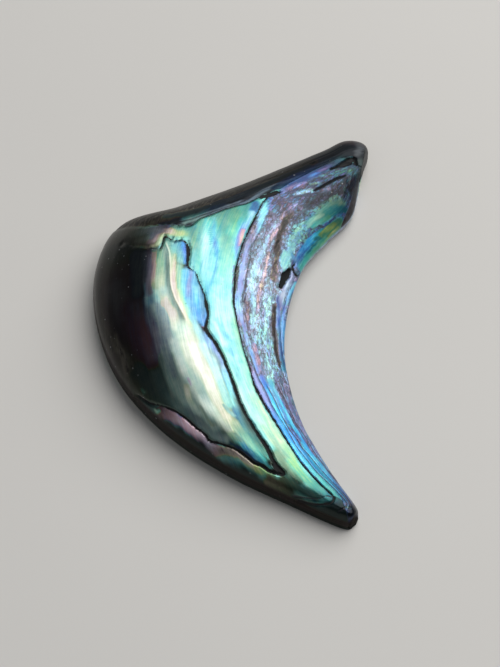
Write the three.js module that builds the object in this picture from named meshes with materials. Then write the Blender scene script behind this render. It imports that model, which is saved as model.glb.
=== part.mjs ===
// A crescent of abalone shell, tumbled and polished all over, lying with its nacre up.
//
// Millimetres. X runs from the thick heel to the hollow side, Y from the lower horn to the
// upper horn, and Z up from the surface that the shell rests on. The origin is the middle
// of the shell's box, at its foot.
//
// The solid is a row of ribs. Each rib is a closed ring that joins a point of the outer
// edge to a point of the inner edge, and the ribs run from the tip of the lower horn,
// round the heel, to the blunt end of the upper horn.

import * as THREE from "three";

// Both edges are listed from the lower horn to the upper horn: x, y, and how high the
// shell's shoulder stands there.
const OUTER_EDGE = [
  [14.3, -22.2, 1.8], // the lower horn's tip
  [13.8, -23.0, 2.2],
  [12.4, -23.2, 2.6],
  [7.0, -20.7, 3.4],
  [0.0, -17.1, 4.2],
  [-7.0, -12.1, 4.8],
  [-12.5, -5.8, 5.0],
  [-15.5, 1.5, 5.0], // the heel
  [-16.0, 9.0, 5.0],
  [-13.5, 15.0, 4.8],
  [-7.0, 17.6, 4.6],
  [2.0, 21.6, 4.4],
  [11.0, 26.2, 4.0],
  [14.5, 28.2, 3.4],
  [16.8, 27.3, 3.0],
  [16.0, 23.0, 2.8], // the middle of the blunt end
];
const INNER_EDGE = [
  [14.3, -22.2, 1.8],
  [14.2, -21.4, 2.2],
  [13.3, -20.0, 2.6],
  [11.0, -16.5, 2.8],
  [8.0, -10.5, 3.0],
  [6.4, -3.5, 3.0], // the bottom of the bay
  [6.7, 3.0, 3.0],
  [8.6, 9.5, 3.0],
  [12.0, 14.2, 3.0],
  [14.8, 17.6, 3.0],
  [16.0, 23.0, 2.8],
];

// Values at even steps from horn to horn.
const CREST_HEIGHTS = [3.2, 6.0, 8.5, 6.6, 3.8]; // the ridge along the shell's back
const VAULT_HEIGHTS = [0.2, 1.8, 3.6, 2.4, 0.4]; // the hollow of the underside
const LIP_LIFTS = [0.0, 0.8, 1.2, 0.8, 0.0]; // how far the inner edge clears the ground
const SHOULDER_POWERS = [3.6, 4.0, 3.6, 2.8, 2.8]; // 2 is a round corner, 4 a tight one
const LIP_POWER = 3.2; // the same for the inner edge, seen from above
const FOOT_POWER = 5.0; // the same for the corners under both edges

const CREST_PLACE = -0.3; // across a rib, from -1 at the outer edge to 1 at the inner one
const WAIST = 0.45; // the widest level of a rib, as a share of its shoulder's height
const VAULT_SPAN = 0.82; // the share of a rib's width that the vault spans
const VAULT_POWER = 1.5; // how quickly the vault rises from its edges
const TIP_LENGTH = 1.6; // half the width at which a horn starts to round off
const GROUND_OFF = 0.35; // worn from the foot, which leaves a flat land to rest on

const RIB_STEPS = 58;
const RING_POINTS = 46;
const TRACE_POINTS = 160; // points that a ring is drawn with before it is evened out
const TIP_CROWDING = 0.75; // 0 spaces the ribs evenly, towards 1 crowds them at the horns

const curveThrough = (points) => {
  const curve = new THREE.CatmullRomCurve3(points, false, "catmullrom", 0.5);
  curve.arcLengthDivisions = 1200;
  return curve;
};
const edgeCurve = (edge) => curveThrough(edge.map((point) => new THREE.Vector3(...point)));
const profile = (values) => {
  const curve = curveThrough(values.map((value) => new THREE.Vector3(value, 0, 0)));
  return (t) => curve.getPoint(t).x;
};

const outerEdge = edgeCurve(OUTER_EDGE);
const innerEdge = edgeCurve(INNER_EDGE);
const crestHeight = profile(CREST_HEIGHTS);
const vaultHeight = profile(VAULT_HEIGHTS);
const lipLift = profile(LIP_LIFTS);
const shoulderPower = profile(SHOULDER_POWERS);

// The back falls by squares from the crest to the shoulder on each side.
function backHeight(across, crest, outer, inner) {
  if (across < CREST_PLACE) {
    const share = (CREST_PLACE - across) / (1 + CREST_PLACE);
    return crest + (outer - crest) * share ** 2;
  }
  const share = (across - CREST_PLACE) / (1 - CREST_PLACE);
  return crest + (inner - crest) * share ** 2;
}

function undersideHeight(across, vault, lift) {
  const inside = Math.max(0, 1 - (across / VAULT_SPAN) ** 2);
  return lift * ((1 + across) / 2) ** 2 + vault * inside ** VAULT_POWER;
}

function cornerPower(t, isBack, isOuter) {
  if (!isBack) return FOOT_POWER;
  return isOuter ? shoulderPower(t) : LIP_POWER;
}

// One rib, traced from the outer edge over the back to the inner edge and home below.
function tracedRing(t) {
  const outer = outerEdge.getPointAt(t);
  const inner = innerEdge.getPointAt(t);
  const halfWidth = Math.hypot(outer.x - inner.x, outer.y - inner.y) / 2;
  const fullness = Math.sin((Math.PI / 2) * Math.min(1, halfWidth / TIP_LENGTH));
  const lift = lipLift(t);
  const ring = [];
  for (let step = 0; step < TRACE_POINTS; step++) {
    const angle = (2 * Math.PI * step) / TRACE_POINTS;
    const eased = angle - Math.sin(2 * angle) / 2;
    const isBack = step < TRACE_POINTS / 2;
    const power = cornerPower(t, isBack, Math.cos(eased) > 0);
    const across = -Math.sign(Math.cos(eased)) * Math.abs(Math.cos(eased)) ** (2 / power);
    const reach = Math.abs(Math.sin(eased)) ** (2 / power);
    const side = (1 + across) / 2;
    const waist = WAIST * THREE.MathUtils.lerp(outer.z, inner.z, side) + lift * side;
    const surface = isBack
      ? backHeight(across, crestHeight(t), outer.z, inner.z)
      : undersideHeight(across, vaultHeight(t), lift);
    ring.push(new THREE.Vector3(
      THREE.MathUtils.lerp(outer.x, inner.x, side),
      THREE.MathUtils.lerp(outer.y, inner.y, side),
      waist + fullness * reach * (surface - waist),
    ));
  }
  return ring;
}

const groundOff = (point) => point.setZ(Math.max(point.z - GROUND_OFF, 0));

function rib(t) {
  const ring = new THREE.CatmullRomCurve3(tracedRing(t), true);
  ring.arcLengthDivisions = 4 * TRACE_POINTS;
  return ring.getSpacedPoints(RING_POINTS).slice(0, RING_POINTS).map(groundOff);
}

function tip(edgePoint) {
  const [x, y, shoulder] = edgePoint;
  return groundOff(new THREE.Vector3(x, y, WAIST * shoulder));
}

function ribPlaces() {
  const places = [];
  for (let step = 1; step < RIB_STEPS; step++) {
    const even = step / RIB_STEPS;
    places.push(even - (TIP_CROWDING * Math.sin(2 * Math.PI * even)) / (2 * Math.PI));
  }
  return places;
}

// Faces between neighbouring ribs, and a fan that closes each horn on its tip.
function shellFaces(ribCount, firstTip, lastTip) {
  const faces = [];
  for (let point = 0; point < RING_POINTS; point++) {
    const next = (point + 1) % RING_POINTS;
    faces.push(firstTip, next, point);
    for (let row = 0; row < ribCount - 1; row++) {
      const near = row * RING_POINTS;
      const far = near + RING_POINTS;
      faces.push(near + point, near + next, far + next);
      faces.push(near + point, far + next, far + point);
    }
    const last = (ribCount - 1) * RING_POINTS;
    faces.push(last + point, last + next, lastTip);
  }
  return faces;
}

function shellGeometry() {
  const ribs = ribPlaces().map(rib);
  const points = [...ribs.flat(), tip(OUTER_EDGE[0]), tip(OUTER_EDGE.at(-1))];
  const geometry = new THREE.BufferGeometry().setFromPoints(points);
  geometry.setIndex(shellFaces(ribs.length, points.length - 2, points.length - 1));
  geometry.computeBoundingBox();
  const { min, max } = geometry.boundingBox;
  geometry.translate(-(min.x + max.x) / 2, -(min.y + max.y) / 2, -min.z);
  geometry.computeVertexNormals();
  return geometry;
}

const nacre = new THREE.MeshStandardMaterial({ color: 0x6fa6a8, roughness: 0.22, metalness: 0.3 });
const shell = new THREE.Mesh(shellGeometry(), nacre);
shell.name = "abalone_shell";

const crescent = new THREE.Group();
crescent.add(shell);

export default crescent;
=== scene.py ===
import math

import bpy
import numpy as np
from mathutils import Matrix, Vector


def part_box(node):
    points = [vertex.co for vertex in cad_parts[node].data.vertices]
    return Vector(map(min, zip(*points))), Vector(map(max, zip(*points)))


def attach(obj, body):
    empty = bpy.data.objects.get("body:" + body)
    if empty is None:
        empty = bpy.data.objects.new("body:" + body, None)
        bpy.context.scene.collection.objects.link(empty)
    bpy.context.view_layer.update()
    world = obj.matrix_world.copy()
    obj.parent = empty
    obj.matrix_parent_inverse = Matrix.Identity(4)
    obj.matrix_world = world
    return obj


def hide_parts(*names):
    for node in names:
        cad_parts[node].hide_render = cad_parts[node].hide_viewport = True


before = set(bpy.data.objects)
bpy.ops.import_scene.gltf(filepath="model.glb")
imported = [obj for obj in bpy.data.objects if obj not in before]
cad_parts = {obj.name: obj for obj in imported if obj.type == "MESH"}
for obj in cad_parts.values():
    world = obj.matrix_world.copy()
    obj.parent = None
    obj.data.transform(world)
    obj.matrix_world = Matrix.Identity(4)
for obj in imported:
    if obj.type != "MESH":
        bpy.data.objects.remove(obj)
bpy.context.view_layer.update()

# A tumbled crescent of abalone shell. The form is drawn in millimetres on the same edges
# and heights as the solid, then fitted to the solid's box. Layers, cracks and growth lines
# are cut into the mesh, and the play of colour is laid on it as broad washes that the
# nacre's finish breaks up into streaks and flecks. The washes also carry painted light and
# shade: a dark heel and dark outer walls, and painted highlights where the shell faces the light.

shell_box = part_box("abalone_shell")

MM = 0.001

# ---- The crescent's form, in millimetres ----

OUTER_EDGE = [  # x, y and shoulder height, from the lower horn round the heel
    (14.3, -22.2, 1.8), (13.8, -23, 2.2), (12.4, -23.2, 2.6), (7, -20.7, 3.4), (0, -17.1, 4.2),
    (-7, -12.1, 4.8), (-12.5, -5.8, 5), (-15.5, 1.5, 5), (-16, 9, 5), (-13.5, 15, 4.8), (-7, 17.6, 4.6),
    (2, 21.6, 4.4), (11, 26.2, 4), (14.5, 28.2, 3.4), (16.8, 27.3, 3), (16, 23, 2.8),
]
INNER_EDGE = [
    (14.3, -22.2, 1.8), (14.2, -21.4, 2.2), (13.3, -20, 2.6), (11, -16.5, 2.8), (8, -10.5, 3),
    (6.4, -3.5, 3), (6.7, 3, 3), (8.6, 9.5, 3), (12, 14.2, 3), (14.8, 17.6, 3), (16, 23, 2.8),
]
CREST_HEIGHTS = [3.2, 6.0, 8.5, 6.6, 3.8]
VAULT_HEIGHTS = [0.2, 1.8, 3.6, 2.4, 0.4]
LIP_LIFTS = [0.0, 0.8, 1.2, 0.8, 0.0]
SHOULDER_POWERS = [3.6, 4.0, 3.6, 2.8, 2.8]
LIP_POWER = 3.2
FOOT_POWER = 5.0
CREST_PLACE = -0.3
WAIST = 0.45
VAULT_SPAN = 0.82
VAULT_POWER = 1.5
TIP_LENGTH = 1.6
GROUND_OFF = 0.35
DRAWN_MIDDLE = (0.35, 2.45)  # where the middle of the solid's box lies on the drawing

RIB_STEPS = 400
BACK_POINTS = 172  # ring points over the back, the rest go underneath
UNDER_POINTS = 66
TIP_CROWDING = 0.75
TRACE_POINTS = 260


def smooth_through(points, per_span=40):
    """A Catmull-Rom curve through the points, as an array of close points."""
    p = np.array(points, float).reshape(len(points), -1)
    p = np.vstack([2 * p[0] - p[1], p, 2 * p[-1] - p[-2]])
    u = np.linspace(0, 1, per_span, endpoint=False)[:, None]
    spans = []
    for a, b, c, d in zip(p, p[1:], p[2:], p[3:]):
        leave, arrive = (c - a) / 2, (d - b) / 2
        spans.append((2 * b - 2 * c + leave + arrive) * u**3
                     + (3 * c - 3 * b - 2 * leave - arrive) * u**2 + leave * u + b)
    return np.vstack([*spans, p[-2][None]])


def lengths_along(route):
    steps = np.linalg.norm(np.diff(route, axis=0), axis=1)
    return np.concatenate([[0.0], np.cumsum(steps)])


def spaced(route, shares):
    """Points at those shares of the route's length."""
    run = lengths_along(route)
    return np.stack([np.interp(shares * run[-1], run, route[:, k]) for k in range(route.shape[1])], 1)


def profile(values, shares):
    curve = smooth_through(values)[:, 0]
    return np.interp(shares, np.linspace(0, 1, len(curve)), curve)[:, None]


def soft_step(value, low, high):
    t = np.clip((value - low) / (high - low), 0, 1)
    return t * t * (3 - 2 * t)


def traced_side(shares, angles, is_back):
    """Half of every rib's ring, over the back or underneath, with its place across the rib."""
    outer = spaced(smooth_through(OUTER_EDGE, 120), shares)
    inner = spaced(smooth_through(INNER_EDGE, 120), shares)
    half_width = np.linalg.norm(outer[:, :2] - inner[:, :2], axis=1)[:, None] / 2
    fullness = np.sin(np.pi / 2 * np.minimum(1, half_width / TIP_LENGTH))
    eased = (angles - np.sin(2 * angles) / 2)[None]
    power = FOOT_POWER
    if is_back:
        power = np.where(np.cos(eased) > 0, profile(SHOULDER_POWERS, shares), LIP_POWER)
    across = -np.sign(np.cos(eased)) * np.abs(np.cos(eased)) ** (2 / power)
    reach = np.abs(np.sin(eased)) ** (2 / power)
    side = (1 + across) / 2
    lift = profile(LIP_LIFTS, shares) * side
    waist = WAIST * (outer[:, 2:] + (inner[:, 2:] - outer[:, 2:]) * side) + lift
    if is_back:
        crest = profile(CREST_HEIGHTS, shares)
        out_share = np.clip((CREST_PLACE - across) / (1 + CREST_PLACE), 0, 1)
        in_share = np.clip((across - CREST_PLACE) / (1 - CREST_PLACE), 0, 1)
        surface = (crest + (outer[:, 2:] - crest) * out_share**2
                   + (inner[:, 2:] - crest) * in_share**2)
    else:
        inside = np.clip(1 - (across / VAULT_SPAN) ** 2, 0, 1)
        surface = lift * side + profile(VAULT_HEIGHTS, shares) * inside**VAULT_POWER
    z = waist + fullness * reach * (surface - waist)
    x = outer[:, :1] + (inner[:, :1] - outer[:, :1]) * side
    y = outer[:, 1:2] + (inner[:, 1:2] - outer[:, 1:2]) * side
    return np.stack(np.broadcast_arrays(x, y, np.maximum(z - GROUND_OFF, 0), across), -1)


def even_out(rows, count):
    """Each row's points spaced evenly along it, ends included."""
    shares = np.linspace(0, 1, count)
    out = np.empty((len(rows), count, rows.shape[2]))
    for k, row in enumerate(rows):
        run = lengths_along(row[:, :3])
        for axis in range(row.shape[1]):
            out[k, :, axis] = np.interp(shares * run[-1], run, row[:, axis])
    return out


def crescent_rings():
    """All ribs as rings: x, y, z and the place across, fitted to the solid's box."""
    even = np.arange(1, RIB_STEPS) / RIB_STEPS
    shares = even - TIP_CROWDING * np.sin(2 * np.pi * even) / (2 * np.pi)
    over = even_out(traced_side(shares, np.linspace(0, np.pi, TRACE_POINTS), True), BACK_POINTS + 1)
    below = np.linspace(np.pi, 2 * np.pi, TRACE_POINTS)
    under = even_out(traced_side(shares, below, False), UNDER_POINTS + 1)
    rings = np.concatenate([over, under[:, 1:-1]], axis=1)
    low, high = rings[..., :3].min((0, 1)), rings[..., :3].max((0, 1))
    want_low, want_high = (np.array(corner) / MM for corner in shell_box)
    rings[..., :3] = (rings[..., :3] - low) * (want_high - want_low) / (high - low) + want_low
    return rings


rings = crescent_rings()
RIBS, RING = rings.shape[:2]
place = rings[..., :3].reshape(-1, 3)
across = rings[..., 3].reshape(-1)
ring_number = np.tile(np.arange(RING), RIBS)
is_back = ring_number <= BACK_POINTS


def grid_normals(points):
    grid = points.reshape(RIBS, RING, 3)
    around = np.roll(grid, -1, 1) - np.roll(grid, 1, 1)
    along = np.gradient(grid, axis=0)
    normal = np.cross(around, along).reshape(-1, 3)
    normal /= np.linalg.norm(normal, axis=1)[:, None] + 1e-12
    return normal if normal[np.argmax(points[:, 2]), 2] > 0 else -normal


facing = grid_normals(place)


# ---- Seeded unevenness ----

def lattice_value(cell, seed):
    mixed = cell[..., 0] * 374761393 + cell[..., 1] * 668265263 + cell[..., 2] * 2147483647
    mixed = (mixed + seed * 144269) & 0xFFFFFFFF
    mixed = ((mixed ^ (mixed >> 13)) * 1274126177) & 0xFFFFFFFF
    return ((mixed ^ (mixed >> 16)) & 0xFFFF) / 65535


def unevenness(points, size, seed, octaves=3):
    """Smooth noise from -1 to 1 with features of that size in millimetres."""
    total, weight, amount = 0, 0, 1.0
    for octave in range(octaves):
        q = points / size * 2**octave
        cell = np.floor(q).astype(np.int64)
        f = q - cell
        f = f * f * (3 - 2 * f)
        value = 0
        for corner in np.ndindex(2, 2, 2):
            share = np.prod(np.where(corner, f, 1 - f), axis=-1)
            value = value + share * lattice_value(cell + np.array(corner), seed + 17 * octave)
        total = total + amount * (value * 2 - 1)
        weight += amount
        amount *= 0.55
    return total / weight


# ---- Lines drawn on the plan ----

plan = place[:, :2]
drift = np.stack([unevenness(place, 1.6, 3), unevenness(place, 1.6, 4)], 1)


def measured(points, at, reach=np.inf, per_span=6):
    """Distance to a smooth line, and the share of its length where it is nearest."""
    route = smooth_through(points, per_span)
    run = lengths_along(route)
    distance = np.full(len(at), np.inf)
    share = np.zeros(len(at))
    near = np.all((at > route.min(0) - reach) & (at < route.max(0) + reach), axis=1)
    spot = at[near]
    best, best_share = distance[near], share[near]
    for start, end, s0, s1 in zip(route, route[1:], run, run[1:]):
        way = end - start
        t = np.clip((spot - start) @ way / max(way @ way, 1e-12), 0, 1)
        gap = np.linalg.norm(spot - start - t[:, None] * way, axis=1)
        nearer = gap < best
        best[nearer] = gap[nearer]
        best_share[nearer] = (s0 + t * (s1 - s0))[nearer] / run[-1]
    distance[near], share[near] = best, best_share
    return distance, share


def inside_outline(corners, at):
    """+distance inside a closed outline, -distance outside it."""
    outline = np.array(corners, float)
    x, y = at.T
    inside = np.zeros(len(at), bool)
    distance = np.full(len(at), np.inf)
    for (x0, y0), (x1, y1) in zip(outline, np.roll(outline, -1, 0)):
        crosses = (y0 > y) != (y1 > y)
        inside ^= crosses & (x < (x1 - x0) * (y - y0) / (y1 - y0 + 1e-12) + x0)
        way = np.array([x1 - x0, y1 - y0])
        t = np.clip((at - (x0, y0)) @ way / max(way @ way, 1e-12), 0, 1)
        distance = np.minimum(distance, np.linalg.norm(at - (x0, y0) - t[:, None] * way, axis=1))
    return np.where(inside, distance, -distance)


def varied(values, shares):
    values = np.atleast_1d(np.array(values, float))
    return np.interp(shares, np.linspace(0, 1, len(values)), values)


# Cracks between the layers: the points of each, its half widths along it, and its depth.
THIN_CRACK = [(-15.6, 9.2), (-13.6, 8.2), (-12, 7.1), (-11, 6.6), (-10, 6.3), (-9, 6.05), (-8.5, 5.95)]
HOOK_CRACK = [
    (-8.5, 5.95), (-8.3, 6.6), (-8.15, 7.4), (-8.1, 7.9), (-7.75, 7.8), (-7.4, 7.6), (-7, 7.25),
    (-6.5, 7.35), (-6, 7.45), (-5.6, 7.2), (-5.3, 6.6), (-5.15, 5.7), (-5.25, 4.6), (-5.2, 3.8),
    (-4.8, 3.4), (-4.3, 3.05), (-4, 2.2), (-3.6, 1.2), (-3.25, 0.3), (-3.05, -0.8), (-2.9, -1.7),
    (-2.75, -2.5), (-2.9, -3.3), (-3, -4), (-2.7, -4.8), (-2.05, -5.6), (-1.5, -6.5), (-1.1, -7.3),
    (-0.55, -8.7), (-0.05, -10), (0.35, -11.2), (0.95, -12.9), (1.6, -14.3), (2.35, -15.6), (3, -16.7),
    (3.65, -17.7), (4.15, -18.6), (4.55, -19.5), (4.9, -20.2), (5.4, -20.8),
]
LIP_CRACK = [
    (-10.6, -10.9), (-9.2, -12.1), (-7.6, -12.9), (-6.4, -13.6), (-5.2, -14.5), (-4, -15.6), (-3, -16.4),
    (-2.5, -17), (-1, -17.6), (0.4, -18.2), (1.4, -18.9), (2.4, -19.7), (3.4, -20.1), (4.2, -20.6),
    (5, -20.9),
]
RIM_CRACK = [
    (-12.4, 10.6), (-11, 10), (-9.5, 9.75), (-8, 9.65), (-6.8, 9.6), (-6, 9.5), (-5.4, 9.45), (-4.9, 9.6),
    (-4.5, 10.1), (-4, 10.7), (-3, 11.2), (-2, 11.8), (-1, 12.4), (0.4, 13), (1.6, 13.5), (2.6, 14.2),
    (3.6, 14.9),
]
RIM_LINE = [
    (-6.4, 10.15), (-5, 10.6), (-4.2, 11.1), (-3.2, 11.6), (-2, 12.2), (-1, 12.7), (0.2, 13.35),
    (1.4, 14), (2.6, 15), (3.8, 15.9), (5.2, 16.8),
]
SECOND_LINE = [
    (5.2, 15.3), (4.4, 15), (3.85, 14.3), (3.4, 13.6), (3.05, 12.7), (2.7, 11.8), (2.2, 10.6), (1.7, 9.4),
    (1.2, 8), (0.8, 6.6), (0.5, 5.2), (0.25, 3.8), (0.2, 2.4), (0.15, 1), (0.12, 0), (0.3, -1.2),
    (0.55, -2.6), (0.85, -4), (1.2, -5.6), (1.7, -7.2), (2.1, -8.6), (2.45, -10), (3, -11.4),
    (3.8, -12.8), (4.6, -14.2), (5.4, -15.6), (6.2, -17), (7, -18.4), (7.8, -19.7), (8.6, -20.7),
    (9.6, -21.8), (10.4, -22.5), (10.9, -23),
]
LINE_HEAD = [(5.6, 15.55), (5, 15.4), (4.4, 15.1), (3.8, 14.75), (3.3, 14.4)]
HORN_LOOP = [
    (10.9, -23), (11.15, -23.5), (10.8, -24.05), (10.1, -24.1), (9.2, -24), (8.2, -23.7), (7.2, -23.3),
]
PIT = [(6.75, 6.3), (6.2, 5.3), (5.6, 3.8)]
NICK = [(7.3, 7.2), (7.1, 6.7), (7.3, 6.05), (7.9, 5.9), (8.5, 6.4)]
END_HOLLOW = [(15, 21.1), (14.7, 21.7), (14.2, 21.3), (13.4, 20.7), (12.7, 20.3), (11.8, 19.7)]
HORN_CRACK = [(13.7, 19.1), (13, 18.7), (12.2, 18.2), (11.2, 17.4), (10.4, 16.8), (9.6, 16.2)]
CRACKS = [
    (THIN_CRACK, [0.03, 0.05, 0.08, 0.1], 0.12),
    (HOOK_CRACK, [0.07, 0.09, 0.11, 0.11, 0.2, 0.17, 0.09, 0.09, 0.1, 0.2, 0.08, 0.24, 0.26, 0.19, 0.2,
     0.19, 0.22, 0.18, 0.17, 0.2, 0.22, 0.24, 0.22, 0.44], 0.3),
    (LIP_CRACK, [0.07, 0.09, 0.12, 0.16, 0.12, 0.16, 0.22], 0.26),
    (RIM_CRACK, [0.04, 0.06, 0.07, 0.08, 0.06, 0.1], 0.14),
    (LINE_HEAD, [0.08, 0.28, 0.32, 0.22, 0.1], 0.24),
    (SECOND_LINE, [0.08, 0.09, 0.11, 0.1, 0.11, 0.13, 0.14, 0.1, 0.09, 0.12, 0.19, 0.18, 0.15, 0.12, 0.1,
     0.12], 0.24),
    (HORN_LOOP, [0.12, 0.08, 0.05], 0.14),
    (PIT, [0.22, 0.42, 0.36, 0.2], 0.5),
    (NICK, [0.08, 0.13, 0.14, 0.07], 0.25),
    (END_HOLLOW, [0.22, 0.36, 0.38, 0.18, 0.08], 0.32),
    (HORN_CRACK, [0.06, 0.14, 0.12, 0.14, 0.05], 0.18),
]

# Fine growth lines, drawn thinner and cut more lightly.
GROWTH_LINES = [
    (RIM_LINE, 0.05),
    ([(10.9, -23.35), (10.3, -23.3), (9.8, -23.5), (9, -23.5), (8, -23.3), (6.6, -22.9)], 0.05),
    ([(4.25, 12.4), (3.9, 11.8), (3.6, 11), (3.3, 10.2), (2.9, 9.2), (2.3, 7.9), (2.05, 7), (1.9, 5.6),
     (1.6, 4.2), (1.45, 2.8), (1.2, 1.4), (1.1, 0.2)], 0.09),
    ([(2, -6.4), (2.4, -7.6), (3, -9.2), (3.6, -10.4), (4.1, -11.6), (4.7, -12.8), (5.4, -14), (6, -15),
     (6.6, -16.2), (7.2, -17.4), (7.9, -18.4), (8.7, -19.5), (9.6, -20.6), (10.6, -21.5), (11.6, -22.5),
     (12.3, -23.3), (12.6, -23.9), (12.3, -24.5), (11.6, -24.9)], 0.07),
    ([(3.9, -9.9), (4.6, -11.2), (5.2, -12.6), (5.8, -14), (6.4, -15.2), (7.2, -16.2), (7.7, -17.2),
     (8.4, -18), (9.2, -19), (10.2, -20.2), (11.2, -21.3), (12.1, -22.3), (12.8, -23.3), (13, -24),
     (12.7, -24.8)], 0.08),
    ([(5.3, -9.9), (6, -11.2), (6.6, -12.6), (7.2, -14), (8, -15.2), (8.6, -16.3), (9.3, -17.6),
     (10.4, -19.1)], 0.07),
    ([(5, 0.8), (4.95, -1), (4.9, -3), (5.15, -5), (5.6, -7), (6.2, -8.8)], 0.07),
    ([(6.4, 3.3), (6.1, 1.8), (5.75, 0.4), (5.55, -1.5), (5.6, -3.5), (5.9, -6)], 0.05),
    ([(0.6, 4.6), (0.55, 3), (0.5, 1.2), (0.35, -0.3)], 0.06),
]

GROWTH_RIDGE = [
    (-8.05, 7.3), (-7.8, 6.4), (-7.5, 5.4), (-7.35, 4), (-7.3, 2.6), (-7.2, 1.4), (-6.95, 0.2),
    (-6.6, -0.8), (-6.1, -1.8), (-5.5, -3), (-5, -4),
]

# The upper layer lies between the thin, hook and lip cracks and runs out over the heel.
UPPER_LAYER = THIN_CRACK + HOOK_CRACK[1:] + LIP_CRACK[::-1] + [(-14, -9), (-18, 0), (-18, 9.4)]
INNER_SIDE = (
    [(16.5, 20.6), (13, 21.6), (9, 18.6), (6.6, 16.8)] + SECOND_LINE + [(12, -23.6), (13, -26.5),
    (18, -26), (18, 20)]
)
RIM_SIDE = (
    [(-18, 12.5), (-13.6, 11.3)] + RIM_CRACK + [(5.4, 15.9), (7, 17.2), (9, 18.8), (11, 20.2), (13, 21.6),
    (14.6, 22), (15.4, 20.6), (14.9, 18.2), (14, 15.4), (13, 13.2), (18, 13), (18, 28), (-18, 28)]
)

upper_layer = inside_outline(UPPER_LAYER, plan + 0.03 * drift)
inner_side = inside_outline(INNER_SIDE, plan)
rim_side = inside_outline(RIM_SIDE, plan + 0.05 * drift)

ragged = unevenness(place, 0.42, 11, 3)
crumbled = unevenness(place, 0.24, 12, 2)
FAR = 9.0  # stands for no crack, line or ridge near by
LINE_DEPTH = 0.05
crack_gap = np.full(len(place), FAR)
groove = np.zeros(len(place))
for points, half_widths, depth in CRACKS:
    distance, share = measured(points, plan, 1.5)
    half = varied(half_widths, share)
    gap = distance - half - (0.10 * ragged + 0.07 * crumbled) * soft_step(half, 0.05, 0.18)
    crack_gap = np.minimum(crack_gap, np.where(is_back, gap, FAR))
    groove = np.maximum(groove, depth * soft_step(-gap, -0.10, 0.12))

line_gap = np.full(len(place), FAR)
for points, half in GROWTH_LINES:
    distance, share = measured(points, plan, 1.5)
    gap = distance - half * (0.8 + 0.5 * ragged)
    line_gap = np.minimum(line_gap, np.where(is_back, gap, FAR))
    groove = np.maximum(groove, LINE_DEPTH * soft_step(-gap, -0.10, 0.06))


# ---- Grain: along and across the growth lines ----

GUIDE_LINE = [
    (15.4, 21.4), (12, 20), (8, 17.4), (3.4, 13), (0.9, 6.6), (0.1, 0), (1.6, -7.2), (5.3, -15.6),
    (10.9, -23.4),
]
GRAIN_LENGTH = 60.0
GRAIN_BREADTH = 7.0
UNDER_GRAIN = 20.0  # keeps the grain underneath apart from the back's
line_distance, line_share = measured(GUIDE_LINE, plan, per_span=24)
inner_edge_line = [(x - DRAWN_MIDDLE[0], y - DRAWN_MIDDLE[1]) for x, y, height in INNER_EDGE]
edge_distance = measured(inner_edge_line, plan, per_span=16)[0]
between = line_distance / (line_distance + edge_distance + 0.05)
grain_along = GRAIN_LENGTH * line_share
grain_across = np.where(inner_side > 0, GRAIN_BREADTH * between, -line_distance)
grain = np.stack([grain_along, grain_across, np.where(is_back, 0.0, UNDER_GRAIN)], 1)
combed = np.stack([grain_along * 0.16, grain_across * 1.5, 0 * across], 1)
brushed = np.stack([0.42 * unevenness(combed, 1.0, 71, 4), 0.25 * unevenness(combed, 1.0, 72, 4)], 1)
loose_plan = plan + brushed + 0.16 * drift  # gives the washes their streaked, uneven edges


# ---- Washes of colour ----
# hue runs round the nacre's colours: 0 violet, 1 blue, 2 sky, 3 cyan, 4 mint, 5 yellow-green,
# 6 cream, 7 pink, 8 violet again. glow is its brightness, milk its whiteness, and earth is how
# much dull brown shell shows in place of nacre. glow carries painted light and shade as well as
# the nacre's own tone: painted shade where the shell faces away from the light, painted highlight
# where it faces it. The hue is kept as a point on a circle, so that two hues blend the short way
# round, and hue and milk are kept times the glow, so that a bright wash carries further than a
# dark one where the two meet.

HUES_ROUND = 8
NACRE_GROUND = (3.0, 0.9, 0.2)  # hue, glow and milk, then earth where there is some
# The upper layer's ground is near black: painted shade, where the heel faces away from the light.
UPPER_GROUND = (7.0, 0.014, 0.3, 0.1)
INNER_GROUND = (1.0, 0.30, 0.15, 0.45)
# Dark grounds for the rim and outer walls: the rim's dull layers, and walls painted dark, partly the dark
# edge layer and partly painted shade.
RIND_AND_WALL_SHADE_GROUND = (1.6, 0.02, 0.5, 0.25)
HEEL_WALL_SHADE_GROUND = (6.4, 0.02, 0.1, 0.3)
UNDER_WALL_SHADE_GROUND = (4.0, 0.02, 0.4, 0.2)
OUTER_BRIGHTNESS = 0.94
INNER_BRIGHTNESS = 1.08


def tone(hue, glow, milk, earth=0.0, share=0.0):
    """The five values of a wash at those shares of its line."""
    turn = np.atleast_1d(np.array(hue, float)) * 2 * np.pi / HUES_ROUND
    east = varied(np.cos(turn), share)
    north = varied(np.sin(turn), share)
    glow, milk, earth = (varied(value, share) for value in (glow, milk, earth))
    return np.stack([east * glow, north * glow, glow, milk * glow, earth], -1)


lustre = np.tile(tone(*NACRE_GROUND), (len(place), 1))


def reset(cover, values):
    """A plain ground laid over what is there."""
    lustre[:] = lustre + (tone(*values) - lustre) * cover[:, None]


def wash(points, width, hue, glow, milk, earth=0.0, where=1.0, soft=0.75, at=loose_plan):
    """One soft-edged stroke along a line, with that half width and those values along it."""
    reach = np.max(width) * (1 + soft)
    distance, share = measured(points, at, reach)
    half = varied(width, share)
    cover = where * soft_step(-distance, -half * (1 + soft), -half * (1 - soft))
    cover = np.where(is_back, cover, 0)[:, None]
    lustre[:] = lustre + (tone(hue, glow, milk, earth, share) - lustre) * cover


def lay(washes, where=1.0):
    for points, width, hue, glow, milk, *earth in washes:
        wash(points, width, hue, glow, milk, *earth, where=where)


on_upper = soft_step(upper_layer, -0.05, 0.05)
on_inner = soft_step(inner_side, -0.05, 0.05)

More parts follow.
